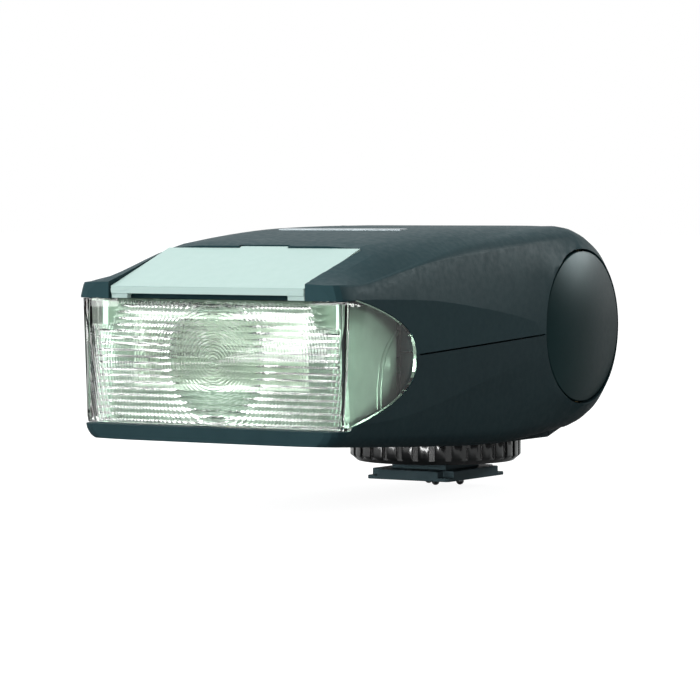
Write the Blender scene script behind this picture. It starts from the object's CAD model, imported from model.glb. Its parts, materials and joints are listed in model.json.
"""Looks of the compact shoe-mount flash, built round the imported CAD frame."""
import json
import math

import bmesh
import bpy
from mathutils import Matrix, Vector


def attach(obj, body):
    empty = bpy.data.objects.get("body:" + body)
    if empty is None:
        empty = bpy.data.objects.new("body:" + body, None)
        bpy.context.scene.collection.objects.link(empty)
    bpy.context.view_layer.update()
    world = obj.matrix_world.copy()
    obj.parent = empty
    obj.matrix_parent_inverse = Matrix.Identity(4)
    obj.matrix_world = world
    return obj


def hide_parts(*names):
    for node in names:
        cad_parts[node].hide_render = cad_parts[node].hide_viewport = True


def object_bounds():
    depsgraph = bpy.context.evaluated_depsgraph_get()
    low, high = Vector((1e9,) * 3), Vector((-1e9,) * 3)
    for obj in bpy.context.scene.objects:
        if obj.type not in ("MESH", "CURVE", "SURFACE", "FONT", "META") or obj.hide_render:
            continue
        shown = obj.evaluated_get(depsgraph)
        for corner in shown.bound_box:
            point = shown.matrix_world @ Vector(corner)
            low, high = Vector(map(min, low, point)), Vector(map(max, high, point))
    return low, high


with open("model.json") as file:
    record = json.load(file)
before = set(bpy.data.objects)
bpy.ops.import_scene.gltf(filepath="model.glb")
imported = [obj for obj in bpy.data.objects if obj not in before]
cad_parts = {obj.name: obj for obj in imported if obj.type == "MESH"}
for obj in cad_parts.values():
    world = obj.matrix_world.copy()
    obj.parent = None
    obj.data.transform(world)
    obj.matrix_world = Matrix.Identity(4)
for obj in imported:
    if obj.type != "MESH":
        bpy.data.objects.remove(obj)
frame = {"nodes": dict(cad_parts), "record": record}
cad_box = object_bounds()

MM = 0.001
NODES = frame["nodes"]
RECORD = frame["record"]
JOINTS = {joint["name"]: joint for joint in RECORD["behaviour"]["joints"]}
SLOTS = {part["node"]: part["material_slot"] for part in RECORD["subparts"]}
AXIS = Vector(JOINTS["head_tilt"]["pos_m"])     # the tilt axis, where the head's own measures start


def at_axis(x, y, z):
    """A place in metres from millimetres measured from the tilt axis."""
    return Vector((x, y, z)) * MM + AXIS


# ---------------------------------------------------------------- materials
class Shader:
    """One material: a Principled shader and the few helpers that feed it."""

    def __init__(self, name, **sockets):
        self.mat = bpy.data.materials.new(name)
        self.mat.use_nodes = True
        self.tree = self.mat.node_tree
        self.bsdf = self.tree.nodes["Principled BSDF"]
        for key, value in sockets.items():
            self.bsdf.inputs[key.replace("_", " ")].default_value = value
        self.coords = self.node("ShaderNodeTexCoord").outputs["Object"]

    def node(self, kind, **settings):
        """A new shader node with these settings."""
        made = self.tree.nodes.new(kind)
        for key, value in settings.items():
            setattr(made, key, value)
        return made

    def link(self, a, b):
        """Wire output a to input b."""
        self.tree.links.new(a, b)

    def noise(self, size, detail=3.0, stretch=(1, 1, 1), rough=0.5):
        """Noise whose features are about size metres across, longer where stretch is below 1."""
        mapping = self.node("ShaderNodeMapping")
        mapping.inputs["Scale"].default_value = [s / size for s in stretch]
        self.link(self.coords, mapping.inputs["Vector"])
        made = self.node("ShaderNodeTexNoise")
        made.inputs["Scale"].default_value = 1.0
        made.inputs["Detail"].default_value = detail
        made.inputs["Roughness"].default_value = rough
        self.link(mapping.outputs["Vector"], made.inputs["Vector"])
        return made.outputs["Fac"]

    def ramp(self, fac, stops):
        """Colour from fac, by [place, colour] stops."""
        made = self.node("ShaderNodeValToRGB")
        ramp = made.color_ramp
        while len(ramp.elements) < len(stops):
            ramp.elements.new(0.5)
        for element, (place, colour) in zip(ramp.elements, stops):
            element.position = place
            element.color = (*colour, 1.0)
        self.link(fac, made.inputs["Fac"])
        return made.outputs["Color"]

    def colour(self, fac, low, high, spread=0.22):
        """Base colour that runs from low to high as fac passes its middle."""
        self.link(self.ramp(fac, [(0.5 - spread, low), (0.5 + spread, high)]), self.bsdf.inputs["Base Color"])

    def roughness(self, fac, low, high):
        """Roughness that runs from low to high as fac passes its middle."""
        made = self.node("ShaderNodeMapRange")
        made.inputs["From Min"].default_value = 0.3
        made.inputs["From Max"].default_value = 0.7
        made.inputs["To Min"].default_value = low
        made.inputs["To Max"].default_value = high
        self.link(fac, made.inputs["Value"])
        self.link(made.outputs["Result"], self.bsdf.inputs["Roughness"])

    def bump(self, height, depth, strength=0.6, under=None):
        """Surface relief of about depth metres, on top of the relief under."""
        made = self.node("ShaderNodeBump")
        made.inputs["Strength"].default_value = strength
        made.inputs["Distance"].default_value = depth
        if under:
            self.link(under, made.inputs["Normal"])
        self.link(height, made.inputs["Height"])
        self.link(made.outputs["Normal"], self.bsdf.inputs["Normal"])


PLASTIC_TINT = (0.5, 0.95, 1.0, 1.0)    # colour of the sheen on the moulded plastic
GRAIN_SIZE = 0.00022                    # its spark-eroded grain, in metres
GRAIN_DEPTH = 0.00002


def plastic(name, low, high, rough, specular):
    """Moulded plastic before its surface relief is added."""
    s = Shader(name, Specular_IOR_Level=specular, Specular_Tint=PLASTIC_TINT)
    s.colour(s.noise(0.006, 4), low, high)
    s.roughness(s.noise(0.0012, 3), *rough)
    return s


def moulded(name, low, high, rough=(0.46, 0.58)):
    """Moulded plastic with a fine spark-eroded grain."""
    s = plastic(name, low, high, rough, 0.1)
    s.bump(s.noise(GRAIN_SIZE, 2, rough=0.6), GRAIN_DEPTH)
    return s.mat


CAP_CROWN = 8.0                         # a cap's face is shaded as if it fell by this times radius squared


def domed_cap(name, low, high):
    """Moulded plastic of the round caps, whose face keeps curving towards the rim."""
    s = plastic(name, low, high, (0.36, 0.40), 0.25)
    offset = s.node("ShaderNodeVectorMath", operation="SUBTRACT")
    offset.inputs[1].default_value = AXIS
    s.link(s.coords, offset.inputs[0])
    flat = s.node("ShaderNodeVectorMath", operation="MULTIPLY")
    flat.inputs[1].default_value = (0, 1, 1)
    s.link(offset.outputs["Vector"], flat.inputs[0])
    square = s.node("ShaderNodeVectorMath", operation="DOT_PRODUCT")
    s.link(flat.outputs["Vector"], square.inputs[0])
    s.link(flat.outputs["Vector"], square.inputs[1])
    height = s.node("ShaderNodeMath", operation="MULTIPLY")
    height.inputs[1].default_value = -CAP_CROWN
    s.link(square.outputs["Value"], height.inputs[0])
    dome = s.node("ShaderNodeBump")
    dome.inputs["Distance"].default_value = 1.0
    s.link(height.outputs["Value"], dome.inputs["Height"])
    s.bump(s.noise(GRAIN_SIZE, 2, rough=0.6), GRAIN_DEPTH, under=dome.outputs["Normal"])
    return s.mat


def gloss(name, low, high, rough=(0.12, 0.2)):
    """Smooth lacquered plastic or sleeve."""
    s = Shader(name, Specular_IOR_Level=0.8, Coat_Weight=1.0, Coat_Roughness=0.05)
    s.colour(s.noise(0.004, 3), low, high)
    s.roughness(s.noise(0.001, 3), *rough)
    s.bump(s.noise(0.0015, 2), 0.00001, 0.25)
    return s.mat


def metal(name, low, high, rough=(0.2, 0.35), stretch=(1, 1, 1)):
    """Bare metal with fine lines, drawn out where stretch is below 1."""
    s = Shader(name, Metallic=1.0)
    s.colour(s.noise(0.003, 4), low, high)
    lines = s.noise(0.0006, 4, stretch)
    s.roughness(lines, *rough)
    s.bump(lines, 0.00001, 0.3)
    return s.mat


BOWL_HALF = (18.2, 6.5)     # half width and half height of the bright bowl
BOWL_Z = -2.5
FLANGE_HALF = 24.6
WING_TONES = ((0.55, 0.76, 0.63), (0.64, 0.86, 0.72))
FLANGE_TONES = ((0.12, 0.17, 0.135), (0.16, 0.22, 0.175))
BOWL_TONES = ((0.72, 0.80, 0.72), (0.82, 0.89, 0.81))


def mirror_and_flange(name):
    """Bright metal in the bowl behind the tube, satin grey green on the flange and wings round it."""
    s = Shader(name, Metallic=1.0)
    split = s.node("ShaderNodeSeparateXYZ")
    s.link(s.coords, split.inputs["Vector"])

    def within(axis, middle, half):
        """1 where the place lies within half millimetres of middle along axis, else 0."""
        offset = s.node("ShaderNodeMath", operation="SUBTRACT")
        offset.inputs[1].default_value = middle
        s.link(split.outputs[axis], offset.inputs[0])
        size = s.node("ShaderNodeMath", operation="ABSOLUTE")
        s.link(offset.outputs["Value"], size.inputs[0])
        test = s.node("ShaderNodeMath", operation="LESS_THAN")
        test.inputs[1].default_value = half * MM
        s.link(size.outputs["Value"], test.inputs[0])
        return test.outputs["Value"]

    tone = s.noise(0.004, 3, (0.3, 1, 1))
    shade = s.ramp(tone, [(0.3, WING_TONES[0]), (0.7, WING_TONES[1])])
    bowl = s.node("ShaderNodeMath", operation="MULTIPLY")
    s.link(within("X", AXIS.x, BOWL_HALF[0]), bowl.inputs[0])
    s.link(within("Z", AXIS.z + BOWL_Z * MM, BOWL_HALF[1]), bowl.inputs[1])
    flange = within("X", AXIS.x, FLANGE_HALF)
    for mask, tones in ((flange, FLANGE_TONES), (bowl.outputs["Value"], BOWL_TONES)):
        mix = s.node("ShaderNodeMix", data_type="RGBA")
        s.link(mask, mix.inputs[0])
        s.link(shade, mix.inputs[6])
        s.link(s.ramp(tone, [(0.3, tones[0]), (0.7, tones[1])]), mix.inputs[7])
        shade = mix.outputs[2]
    s.link(shade, s.bsdf.inputs["Base Color"])
    s.roughness(s.noise(0.0006, 4, (0.2, 1, 1)), 0.3, 0.42)
    return s.mat


def glassy(name, colour, rough, transmission=1.0, lets_light_in=True):
    """Clear or frosted plastic and glass; lets_light_in makes it clear to shadow rays."""
    s = Shader(name, Transmission_Weight=transmission, IOR=1.49)
    s.colour(s.noise(0.01, 2), colour, tuple(min(1, c * 1.02) for c in colour))
    s.roughness(s.noise(0.002, 2), *rough)
    if lets_light_in:
        seen = s.node("ShaderNodeLightPath")
        clear = s.node("ShaderNodeBsdfTransparent")
        clear.inputs["Color"].default_value = (0.85, 0.88, 0.86, 1)
        mix = s.node("ShaderNodeMixShader")
        s.link(seen.outputs["Is Shadow Ray"], mix.inputs[0])
        s.link(s.bsdf.outputs["BSDF"], mix.inputs[1])
        s.link(clear.outputs["BSDF"], mix.inputs[2])
        s.link(mix.outputs["Shader"], s.tree.nodes["Material Output"].inputs["Surface"])
    return s.mat


MATERIALS = {
    "casing_top": moulded("casing_top", (0.012, 0.029, 0.034), (0.014, 0.033, 0.038)),
    "casing_bottom": moulded("casing_bottom", (0.009, 0.021, 0.025), (0.011, 0.025, 0.029)),
    "side_cap": domed_cap("side_cap", (0.003, 0.013, 0.014), (0.004, 0.016, 0.017)),
    "base_plastic": moulded("base_plastic", (0.008, 0.016, 0.020), (0.011, 0.020, 0.025)),
    "panel_plastic": moulded("panel_plastic", (0.006, 0.011, 0.014), (0.009, 0.015, 0.018), (0.3, 0.42)),
    "foot_plastic": moulded("foot_plastic", (0.045, 0.068, 0.078), (0.058, 0.085, 0.095), (0.35, 0.5)),
    "black_plastic": gloss("black_plastic", (0.004, 0.005, 0.006), (0.008, 0.010, 0.011)),
    "steel": metal("steel", (0.50, 0.51, 0.52), (0.66, 0.67, 0.68)),
    "spring_steel": metal("spring_steel", (0.58, 0.59, 0.60), (0.72, 0.73, 0.74), (0.15, 0.28)),
    "pin_metal": metal("pin_metal", (0.80, 0.82, 0.82), (0.90, 0.92, 0.92), (0.05, 0.14)),
    "brass_strip": metal("brass_strip", (0.62, 0.47, 0.22), (0.74, 0.60, 0.32), (0.22, 0.38)),
    "copper_winding": metal("copper_winding", (0.50, 0.27, 0.12), (0.70, 0.44, 0.22), (0.3, 0.5), (1, 8, 8)),
    "silver_inlay": metal("silver_inlay", (0.30, 0.34, 0.36), (0.38, 0.43, 0.45), (0.4, 0.5), (0.1, 1, 1)),
    "reflector_metal": mirror_and_flange("reflector_metal"),
    "capacitor_sleeve": gloss("capacitor_sleeve", (0.012, 0.016, 0.026), (0.022, 0.027, 0.038), (0.2, 0.32)),
    "cell_wrap": gloss("cell_wrap", (0.40, 0.26, 0.05), (0.50, 0.34, 0.08), (0.18, 0.28)),
    "lamp_lens": gloss("lamp_lens", (0.20, 0.50, 0.14), (0.32, 0.66, 0.22), (0.1, 0.2)),
    "clear_lens": glassy("clear_lens", (0.93, 0.98, 0.93), (0.0, 0.02)),
    "lamp_glass": glassy("lamp_glass", (0.97, 0.98, 0.97), (0.0, 0.02)),
    "frosted_panel": glassy("frosted_panel", (0.31, 0.43, 0.405), (0.42, 0.5), 0.2, False),
}
# slots that keep the record's colour, with their roughness
LOOKS_FROM_RECORD = {"silicone": (0.5, 0.62), "board": (0.3, 0.45), "acetal": (0.35, 0.5),
                     "button_red": (0.35, 0.48), "button_grey": (0.35, 0.48)}
for material in RECORD["materials"]:
    if material["slot"] in LOOKS_FROM_RECORD:
        name = material["slot"]
        low = tuple(0.88 * c for c in material["base_color"][:3])
        high = tuple(min(1.0, 1.08 * c) for c in material["base_color"][:3])
        MATERIALS[name] = moulded(name, low, high, LOOKS_FROM_RECORD[name])

for node, slot in SLOTS.items():
    NODES[node].data.materials.clear()
    NODES[node].data.materials.append(MATERIALS[slot])


# ---------------------------------------------------------------- helpers for new pieces
def finish_piece(name, mesh, node, body="head", smooth_angle=35):
    """A new object with the material of a CAD node, riding on body; smooth_angle 0 leaves its shading."""
    obj = bpy.data.objects.new(name, mesh)
    bpy.context.scene.collection.objects.link(obj)
    if smooth_angle:
        mesh.shade_smooth()
        mesh.set_sharp_from_angle(angle=math.radians(smooth_angle))
    mesh.materials.append(MATERIALS[SLOTS[node]])
    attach(obj, body)
    return obj


def round_edges(obj, width_mm, angle=30):
    """A small bevel along the edges sharper than angle degrees."""
    weld = obj.modifiers.new("weld", "WELD")
    weld.merge_threshold = 0.002 * MM
    made = obj.modifiers.new("round", "BEVEL")
    made.width = width_mm * MM
    made.segments = 2
    made.limit_method = "ANGLE"
    made.angle_limit = math.radians(angle)
    made.harden_normals = True
    made.use_clamp_overlap = True
    return made


# ---------------------------------------------------------------- clear front cover
FRONT = -81.5           # front face of the cover; this and what follows in mm from the tilt axis
WALL = 1.6              # thickness of its front wall
RING_PITCH = 0.62       # concentric ridges on the outer face
RING_DEPTH = 0.2
RING_SQUASH = 1.08      # the rings are this much wider than high
RING_RETURN = 0.14      # share of each ring's pitch that its steep side takes
ROWS = 19               # horizontal rows on the inner face, with a notch between each two
ROW_STEPS = 10
NOTCH_STEPS = 4
ROW_DEPTH = 0.3
MIDDLE_ROWS = 0.15      # share of that depth left in the middle
PLAIN_R = (6.0, 12.0)   # the rows fade out between these radii, towards the middle of the rings
LENS_MID_Z = -4.3
RIDGED_X = 27.2         # half width of the outer face that carries ridges
FIELD_X = 25.9          # half width of the prism rows
FIELD_Z = (-15.5, 6.5)
CLEAR_X = (20.4, 21.8)  # inner edge of the plain corner blocks, at their top and bottom
CLEAR_Z = 1.9
CLEAR_DEPTH = 0.22      # the plain blocks are sunk by this
BOW_X = (21.8, 24.7)    # inner edge of the bowed upright ridges, at their bottom and top
BOW_PITCH = 0.95
BOW_DEPTH = 0.3
LEAST_CUT = 0.02        # a field is cut at least this deep, so that no two faces coincide
OUTER_STEPS = (0.124, 0.125)            # mesh steps across and up on the outer face
INNER_STEPS = (0.86, (FIELD_Z[1] - FIELD_Z[0]) / (ROWS * ROW_STEPS))
OUTER_REACH = 1.5       # how far each cutter stands out of the wall
INNER_REACH = 0.6
LENS_CREASE = 20        # degrees


def plain_corner(x, z):
    """Whether the place lies in one of the plain blocks in the cover's upper corners."""
    edge = CLEAR_X[1] + (CLEAR_X[0] - CLEAR_X[1]) * (z - CLEAR_Z) / (FIELD_Z[1] - CLEAR_Z)
    return z > CLEAR_Z and abs(x) > edge


def saw(t):
    """Sawtooth between 0 and 1 with a short return."""
    t %= 1.0
    return t / (1 - RING_RETURN) if t < 1 - RING_RETURN else (1 - t) / RING_RETURN


def ring_depth(x, z):
    """Depth cut into the outer face: plain corners, bowed upright ridges at the ends, rings between."""
    if plain_corner(x, z):
        return CLEAR_DEPTH
    high = (z - FIELD_Z[0]) / (FIELD_Z[1] - FIELD_Z[0])
    bow = BOW_X[0] + (BOW_X[1] - BOW_X[0]) * math.sin(high * math.pi / 2)
    if abs(x) > bow:
        return BOW_DEPTH * abs(math.sin((abs(x) - bow) / BOW_PITCH * math.pi))
    r = math.hypot(x, (z - LENS_MID_Z) * RING_SQUASH)
    return RING_DEPTH * saw(r / RING_PITCH)


def row_depth(x, z):
    """Depth of the prism rows in the inner face."""
    if plain_corner(x, z):
        return 0.0
    step = round((z - FIELD_Z[0]) / (FIELD_Z[1] - FIELD_Z[0]) * ROWS * ROW_STEPS) % ROW_STEPS
    r = math.hypot(x, z - LENS_MID_Z)
    fade = min(1.0, max(MIDDLE_ROWS, (r - PLAIN_R[0]) / (PLAIN_R[1] - PLAIN_R[0])))
    return ROW_DEPTH * fade * max(0.0, 1 - abs(step / (NOTCH_STEPS / 2) - 1))


def cutter_object(name, bm, mesh=None):
    """An object from the faces in bm, to be used up by cut()."""
    mesh = mesh or bpy.data.meshes.new(name)
    bm.to_mesh(mesh)
    bm.free()
    obj = bpy.data.objects.new(name, mesh)
    bpy.context.scene.collection.objects.link(obj)
    return obj


def field_cutter(name, half_x, face_y, reach, depth, steps, side):
    """Closed block whose face at face_y is pushed into the wall, towards side, by depth(x, z)."""
    nx = round(2 * half_x / steps[0])
    nz = round((FIELD_Z[1] - FIELD_Z[0]) / steps[1])
    xs = [-half_x + 2 * half_x * i / nx for i in range(nx + 1)]
    zs = [FIELD_Z[0] + (FIELD_Z[1] - FIELD_Z[0]) * j / nz for j in range(nz + 1)]
    verts = []
    for z in zs:
        for x in xs:
            verts.append(at_axis(x, face_y + side * (LEAST_CUT + depth(x, z)), z))
    front_count = len(verts)
    for z in zs:
        for x in xs:
            verts.append(at_axis(x, face_y - side * reach, z))
    row = nx + 1
    faces = []
    for j in range(nz):
        for i in range(nx):
            a = j * row + i
            faces.append((a, a + 1, a + row + 1, a + row))
            b = front_count + a
            faces.append((b, b + row, b + row + 1, b + 1))
    left_edge = [j * row for j in range(nz + 1)]
    right_edge = [j * row + nx for j in range(nz + 1)]
    low_edge = list(range(nx + 1))
    high_edge = [nz * row + i for i in range(nx + 1)]
    for edge, flip in ((left_edge, False), (right_edge, True), (low_edge, True), (high_edge, False)):
        for a, b in zip(edge, edge[1:]):
            quad = (a, b, front_count + b, front_count + a)
            faces.append(quad[::-1] if flip else quad)
    mesh = bpy.data.meshes.new(name)
    mesh.from_pydata(verts, [], faces)
    bm = bmesh.new()
    bm.from_mesh(mesh)
    bmesh.ops.recalc_face_normals(bm, faces=bm.faces)
    return cutter_object(name, bm, mesh)


def cut(obj, cutters):
    """Cut the mesh of obj by each cutter in turn, and remove the cutters."""
    for cutter in cutters:
        made = obj.modifiers.new("cut", "BOOLEAN")
        made.operation = "DIFFERENCE"
        made.solver = "MANIFOLD"
        made.object = cutter
    graph = bpy.context.evaluated_depsgraph_get()
    mesh = bpy.data.meshes.new_from_object(obj.evaluated_get(graph))
    obj.modifiers.clear()
    old, obj.data = obj.data, mesh
    bpy.data.meshes.remove(old)
    for cutter in cutters:
        bpy.data.meshes.remove(cutter.data)


def welded_copy(node):
    """A free copy of a CAD node's mesh in world place, with its seams welded."""
    mesh = NODES[node].data.copy()
    mesh.transform(NODES[node].matrix_world)
    bm = bmesh.new()
    bm.from_mesh(mesh)
    bmesh.ops.remove_doubles(bm, verts=bm.verts, dist=0.001 * MM)
    bm.to_mesh(mesh)
    bm.free()
    mesh.materials.clear()
    return mesh


def front_cover():
    """The clear cover, with rings and ridges cut in its outer face and rows in its inner one."""
    obj = finish_piece("front_cover", welded_copy("front_lens"), "front_lens", smooth_angle=0)
    outer = field_cutter("ring_cutter", RIDGED_X, FRONT, OUTER_REACH, ring_depth, OUTER_STEPS, 1)
    inner = field_cutter("row_cutter", FIELD_X, FRONT + WALL, INNER_REACH, row_depth, INNER_STEPS, -1)
    cut(obj, [outer, inner])
    obj.data.shade_smooth()
    obj.data.set_sharp_from_angle(angle=math.radians(LENS_CREASE))
    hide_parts("front_lens")


front_cover()


# ---------------------------------------------------------------- casing halves and side caps
CREASE_ANGLE = 15.5     # degrees: the casing's creases are at least this sharp
CORNER_ANGLE = 30       # true corners are at least this sharp
CREASE_END_Y = -16      # behind this only true corners stay sharp
BEVEL_FROM = 34         # degrees: edges sharper than this are beveled on the casing and caps
SHELL_BEVEL = 0.2       # width of the casing's bevel
SMALL_BEVEL = 0.18
NORMAL_WEIGHT = 60      # how far large faces lead in the shading


def crease(mesh):
    """Smooth shading that keeps the casing's creases ahead of the round ends, and every true corner."""
    mesh.shade_smooth()
    mesh.set_sharp_from_angle(angle=math.radians(CREASE_ANGLE))
    sides = {}
    for face in mesh.polygons:
        for key in face.edge_keys:
            sides.setdefault(key, []).append(face.normal.copy())
    ends = AXIS.y + CREASE_END_Y * MM
    for edge in mesh.edges:
        normals = sides.get(tuple(sorted(edge.vertices)), [])
        ahead = max(mesh.vertices[i].co.y for i in edge.vertices) < ends
        if ahead or len(normals) != 2:
            continue
        if normals[0].angle(normals[1], 0.0) < math.radians(CORNER_ANGLE):
            edge.use_edge_sharp = False


def smooth_copy(node, name, body, bevel=SMALL_BEVEL, cutters=()):
    """A piece with the shape of a CAD node, its curved skin shaded smooth and its edges softened."""
    obj = finish_piece(name, welded_copy(node), node, body, 0)
    if cutters:
        cut(obj, cutters)
        obj.data.materials.clear()
        obj.data.materials.append(MATERIALS[SLOTS[node]])
    crease(obj.data)
    made = round_edges(obj, bevel, BEVEL_FROM)
    made.harden_normals = False
    weighted = obj.modifiers.new("normals", "WEIGHTED_NORMAL")
    weighted.keep_sharp = True
    weighted.weight = NORMAL_WEIGHT
    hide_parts(node)


SEAM_Z = -0.35          # height of the seam's gap at the tilt axis
SEAM_SLOPE = 0.05
SEAM_Y = (-58.5, -15.2)
SEAM_GAP = 0.3
SEAM_WIDTH = 80         # wider than the casing


def seam_cutter():
    """A thin leaf along the seam between the two casings, behind the front cover."""
    tilt = Matrix.Rotation(math.atan(SEAM_SLOPE), 3, "X")
    middle = sum(SEAM_Y) / 2
    bm = bmesh.new()
    bmesh.ops.create_cube(bm, size=1.0)
    bmesh.ops.scale(bm, vec=Vector((SEAM_WIDTH, SEAM_Y[1] - SEAM_Y[0], SEAM_GAP)) * MM, verts=bm.verts)
    bmesh.ops.rotate(bm, cent=(0, 0, 0), matrix=tilt, verts=bm.verts)
    bmesh.ops.translate(bm, vec=at_axis(0, middle, SEAM_Z + middle * SEAM_SLOPE), verts=bm.verts)
    return cutter_object("seam_cutter", bm)


LATHE_STEPS = 128


def lathe(name, profile, side):
    """A closed solid from [radius, x] points turned about the tilt axis, on which its two end points lie."""
    turns = [2 * math.pi * i / LATHE_STEPS for i in range(LATHE_STEPS)]
    bm = bmesh.new()
    rings = []
    for radius, x in profile[1:-1]:
        rings.append([bm.verts.new(at_axis(side * x, radius * math.cos(turn), radius * math.sin(turn)))
                      for turn in turns])
    ends = [bm.verts.new(at_axis(side * profile[i][1], 0, 0)) for i in (0, -1)]
    for i in range(LATHE_STEPS):
        j = (i + 1) % LATHE_STEPS
        bm.faces.new((ends[0], rings[0][i], rings[0][j]))
        bm.faces.new((ends[1], rings[-1][j], rings[-1][i]))
        for low, high in zip(rings, rings[1:]):
            bm.faces.new((low[i], high[i], high[j], low[j]))
    bmesh.ops.recalc_face_normals(bm, faces=bm.faces)
    return cutter_object(name, bm)


CAP_X = 31.64           # middle of a cap's outer face
CAP_R = 14.5
CAP_RISE = 0.75         # how far the face falls from its middle to that radius
DOME_RADII = (0.0, 1, 2.5, 4, 5.5, 7, 8.5, 10, 11.5, 13, 14.5, 16)


def dome_cutter(side):
    """What is cut off a round cap to leave its outer face domed."""
    low = [[r, CAP_X - CAP_RISE * (r / CAP_R) ** 2] for r in DOME_RADII]
    return lathe("dome_cutter", low + [[DOME_RADII[-1], CAP_X + 1], [0.0, CAP_X + 1]], side)


smooth_copy("head_top_shell", "top_casing", "head", SHELL_BEVEL)
smooth_copy("head_bottom_shell", "bottom_casing", "head", SHELL_BEVEL, [seam_cutter()])
smooth_copy("pivot_cap", "right_cap", "base", cutters=[dome_cutter(1)])
smooth_copy("battery_door", "left_cap", "battery_door", cutters=[dome_cutter(-1)])
for node in ("wide_panel", "foot_plate", "rear_panel", "base_bottom_plate", "lock_ring"):
    round_edges(NODES[node], SMALL_BEVEL)


# ---------------------------------------------------------------- beads on the reflector's wings
BEAD_LINE = ((-62.4, 0.9), (-64.6, -0.6), (-66.6, -2.9), (-67.9, -5.8), (-68.5, -9.0), (-68.5, -12.6))
BEAD_R = 0.2
BEAD_HEIGHT = 0.9       # a bead's thickness as a share of its width
BEAD_SIDES = 10
BEAD_GAP = 1.3          # between the two beads
WING_FACE_X = 25.75     # outer face of a wing


def add_bead(bm, side, shift):
    """One closed bead along BEAD_LINE, moved back by shift, on one wing."""
    rings = []
    for i, (y, z) in enumerate(BEAD_LINE):
        before = Vector(BEAD_LINE[max(i - 1, 0)])
        after = Vector(BEAD_LINE[min(i + 1, len(BEAD_LINE) - 1)])
        along = (after - before).normalized()
        ring = []
        for k in range(BEAD_SIDES):
            turn = 2 * math.pi * k / BEAD_SIDES
            out = BEAD_R * math.cos(turn)
            x = WING_FACE_X + BEAD_R * math.sin(turn) * BEAD_HEIGHT
            ring.append(bm.verts.new(at_axis(side * x, y + shift - along.y * out, z + along.x * out)))
        rings.append(ring)
    for low, high in zip(rings, rings[1:]):
        for k in range(BEAD_SIDES):
            after = (k + 1) % BEAD_SIDES
            bm.faces.new((low[k], low[after], high[after], high[k]))
    bm.faces.new(rings[0])
    bm.faces.new(rings[-1])


def wing_beads():
    """Two bent beads pressed into the outer side of each wing."""
    bm = bmesh.new()
    for side in (-1, 1):
        for shift in (0.0, BEAD_GAP):
            add_bead(bm, side, shift)
    bmesh.ops.recalc_face_normals(bm, faces=bm.faces)
    mesh = bpy.data.meshes.new("wing_beads")
    bm.to_mesh(mesh)
    bm.free()
    finish_piece("wing_beads", mesh, "reflector")


wing_beads()


# ---------------------------------------------------------------- stage
CAMERA_FROM_AXIS = (343.2, -582.3, 24.6)
CAMERA_TURN = (32.11, 2.53, -0.14)      # azimuth, elevation and roll in degrees
CAMERA_LENS_MM = 175.4


def camera():
    """The photograph's view."""
    az, el, roll = (math.radians(angle) for angle in CAMERA_TURN)
    back = Vector((math.sin(az) * math.cos(el), -math.cos(az) * math.cos(el), math.sin(el)))
    right = Vector((math.cos(az), math.sin(az), 0))
    up = back.cross(right)
    across = right * math.cos(roll) + up * math.sin(roll)
    upward = up * math.cos(roll) - right * math.sin(roll)
    data = bpy.data.cameras.new("camera")
    data.sensor_width = 36.0
    data.lens = CAMERA_LENS_MM
    data.clip_start, data.clip_end = 0.01, 10.0
    obj = bpy.data.objects.new("camera", data)
    obj.location = at_axis(*CAMERA_FROM_AXIS)
    obj.rotation_mode = "QUATERNION"
    obj.rotation_quaternion = Matrix((across, upward, back)).transposed().to_quaternion()
    bpy.context.scene.collection.objects.link(obj)
    bpy.context.scene.camera = obj


def area(name, place, target, size, power):
    """A white softbox at place, facing target."""
    data = bpy.data.lights.new(name, "AREA")
    data.shape = "RECTANGLE"
    data.size, data.size_y = size
    data.energy = power
    obj = bpy.data.objects.new(name, data)
    obj.location = place
    obj.rotation_mode = "QUATERNION"
    obj.rotation_quaternion = (Vector(target) - Vector(place)).to_track_quat("-Z", "Y")
    bpy.context.scene.collection.objects.link(obj)


WORLD_LEFT, WORLD_RIGHT = 0.9, 0.05     # strength of the light from each side
FADE_FROM, FADE_TO = -0.25, 0.75        # where across the sky the one turns into the other


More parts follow.
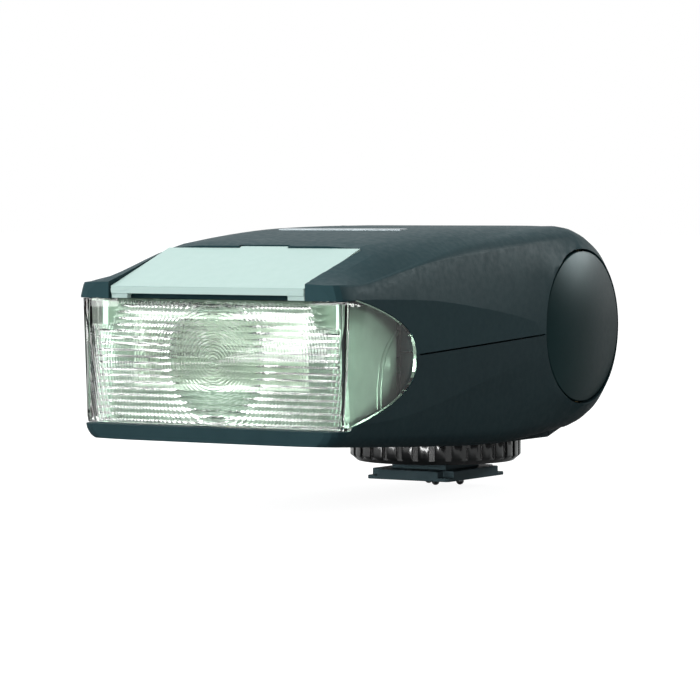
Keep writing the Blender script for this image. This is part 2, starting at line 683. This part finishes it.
def studio_light():
    """White to the camera on every side, and a soft light that fades towards +X."""
    world = bpy.data.worlds.new("studio")
    world.use_nodes = True
    tree = world.node_tree
    back = tree.nodes["Background"]
    back.inputs["Color"].default_value = (1, 1, 1, 1)
    coords = tree.nodes.new("ShaderNodeTexCoord")
    split = tree.nodes.new("ShaderNodeSeparateXYZ")
    fade = tree.nodes.new("ShaderNodeMapRange")
    fade.interpolation_type = "SMOOTHSTEP"
    fade.inputs["From Min"].default_value = FADE_FROM
    fade.inputs["From Max"].default_value = FADE_TO
    fade.inputs["To Min"].default_value = WORLD_LEFT
    fade.inputs["To Max"].default_value = WORLD_RIGHT
    seen = tree.nodes.new("ShaderNodeLightPath")
    white = tree.nodes.new("ShaderNodeMath")
    white.operation = "MAXIMUM"
    tree.links.new(coords.outputs["Generated"], split.inputs["Vector"])
    tree.links.new(split.outputs["X"], fade.inputs["Value"])
    tree.links.new(fade.outputs["Result"], white.inputs[0])
    tree.links.new(seen.outputs["Is Camera Ray"], white.inputs[1])
    tree.links.new(white.outputs["Value"], back.inputs["Strength"])
    bpy.context.scene.world = world


FLOOR_SIZE = 8.0
FLOOR_GAP = 0.0002      # between the floor and the object, in metres
FLOOR_GLOW = 0.92       # what the camera alone sees, so that the floor is as pale as the background


def floor():
    """A plain pale floor."""
    low = cad_box[0][2] - FLOOR_GAP
    bpy.ops.mesh.primitive_plane_add(size=FLOOR_SIZE, location=(0, 0, low))
    sheet = bpy.context.object
    sheet.name = "floor"
    s = Shader("floor", Roughness=0.9, Specular_IOR_Level=0.1, Emission_Color=(1, 1, 1, 1))
    s.colour(s.noise(0.3, 3), (0.20, 0.21, 0.21), (0.23, 0.23, 0.23))
    seen = s.node("ShaderNodeLightPath")
    glow = s.node("ShaderNodeMath", operation="MULTIPLY")
    glow.inputs[1].default_value = FLOOR_GLOW
    s.link(seen.outputs["Is Camera Ray"], glow.inputs[0])
    s.link(glow.outputs["Value"], s.bsdf.inputs["Emission Strength"])
    sheet.data.materials.append(s.mat)


def stage():
    """Floor, background and four softboxes."""
    floor()
    studio_light()
    middle = at_axis(0, -30, 0)
    area("top_softbox", (-0.25, -0.2, 0.8), middle, (0.5, 0.5), 8)
    area("left_softbox", (-0.55, -0.75, 0.25), middle, (0.6, 0.5), 5)
    area("rear_softbox", (0.45, 0.76, 0.36), middle, (0.45, 0.15), 3.6)
    area("front_fill", (0.25, -0.75, 0.12), middle, (0.4, 0.3), 4)


camera()
stage()
bpy.context.scene.view_settings.view_transform = "Standard"
